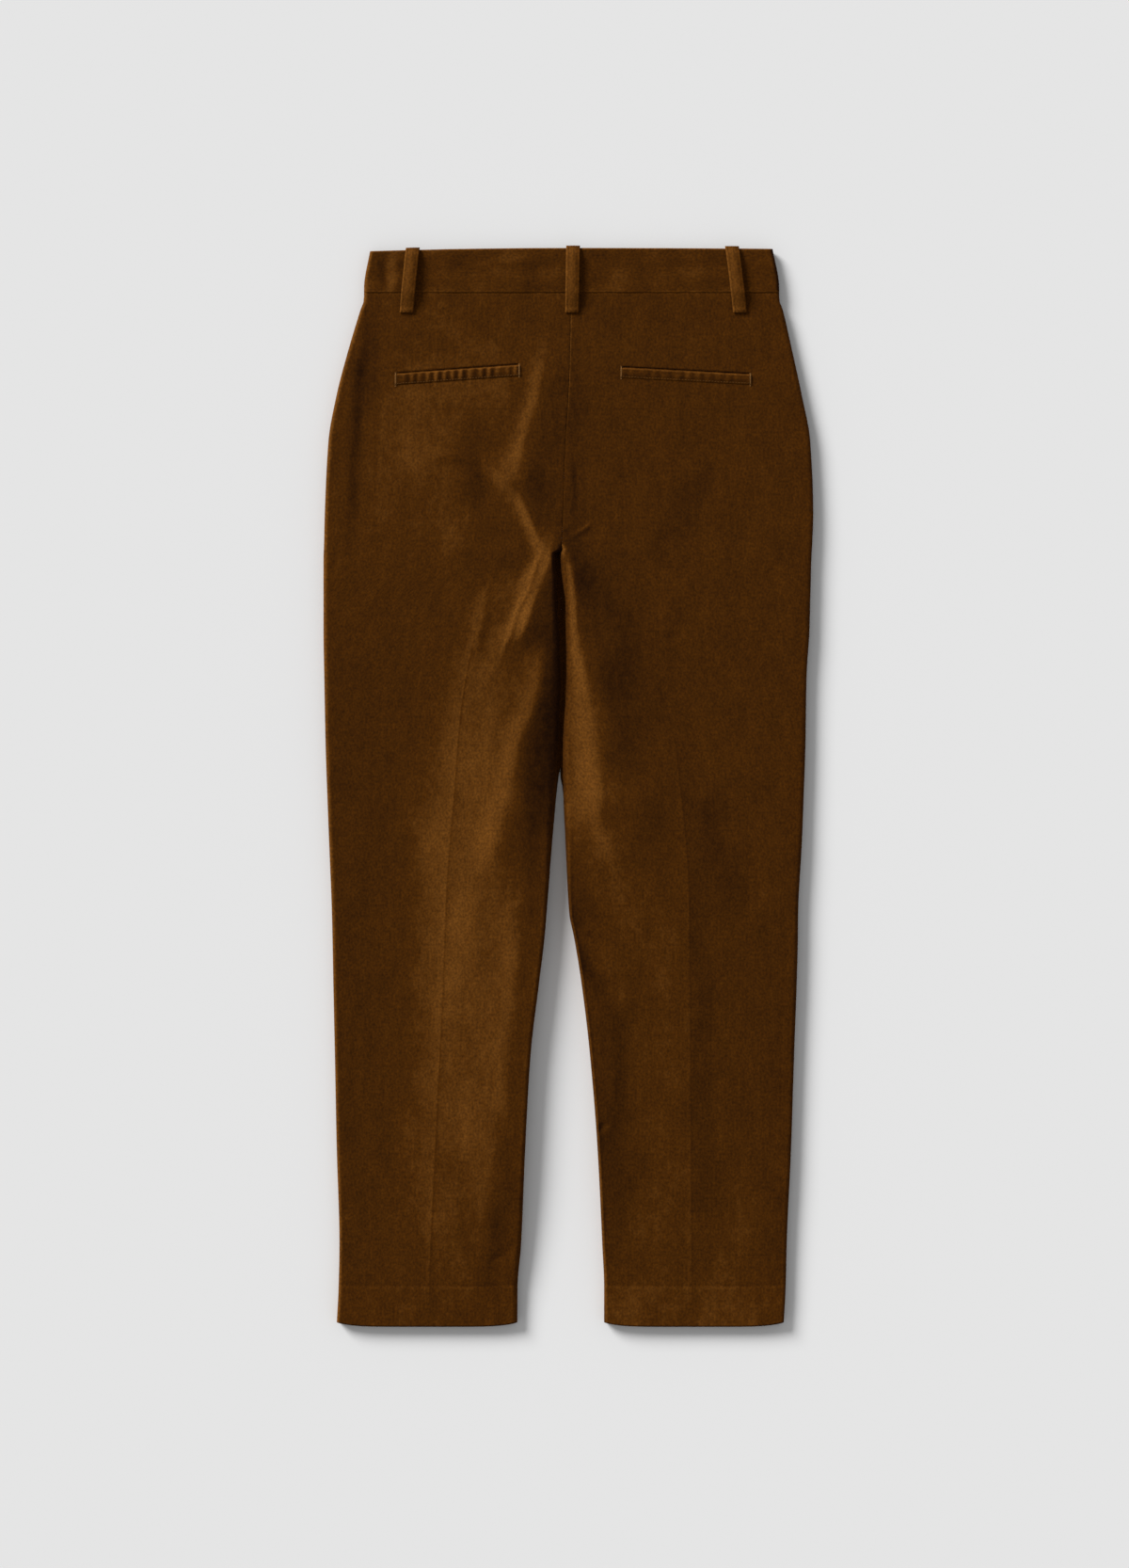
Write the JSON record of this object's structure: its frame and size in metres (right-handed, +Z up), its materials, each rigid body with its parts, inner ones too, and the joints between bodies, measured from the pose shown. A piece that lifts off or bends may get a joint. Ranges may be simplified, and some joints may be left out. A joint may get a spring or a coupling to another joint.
{
  "type": "corduroy trousers",
  "caption": "Tapered corduroy trousers laid flat, back uppermost, with a belt-looped waistband, welt back pockets, pressed creases and turned-up hems.",
  "frame": {"origin": "middle of the garment's outline, on the plane it lies on", "axes": "+Y along the legs towards the waist, +Z up out of the back panels, +X towards the wearer's right leg"},
  "size_m": [0.455, 1.0038, 0.0181],
  "materials": {
    "corduroy": "fine-wale cotton corduroy with a soft nap, tobacco brown",
    "button": "dark brown, horn-like, satin"
  },
  "bodies": {
    "root": {"back_left": "corduroy", "back_right": "corduroy", "front_left": "corduroy", "front_right": "corduroy", "waistband_back": "corduroy", "waistband_front_left": "corduroy", "waistband_front_right": "corduroy", "loop_back_left": "corduroy", "loop_back_centre": "corduroy", "loop_back_right": "corduroy", "loop_front_left": "corduroy", "loop_front_right": "corduroy", "welt_left": "corduroy", "welt_right": "corduroy", "waist_button": "button"}
  },
  "joints": []
}
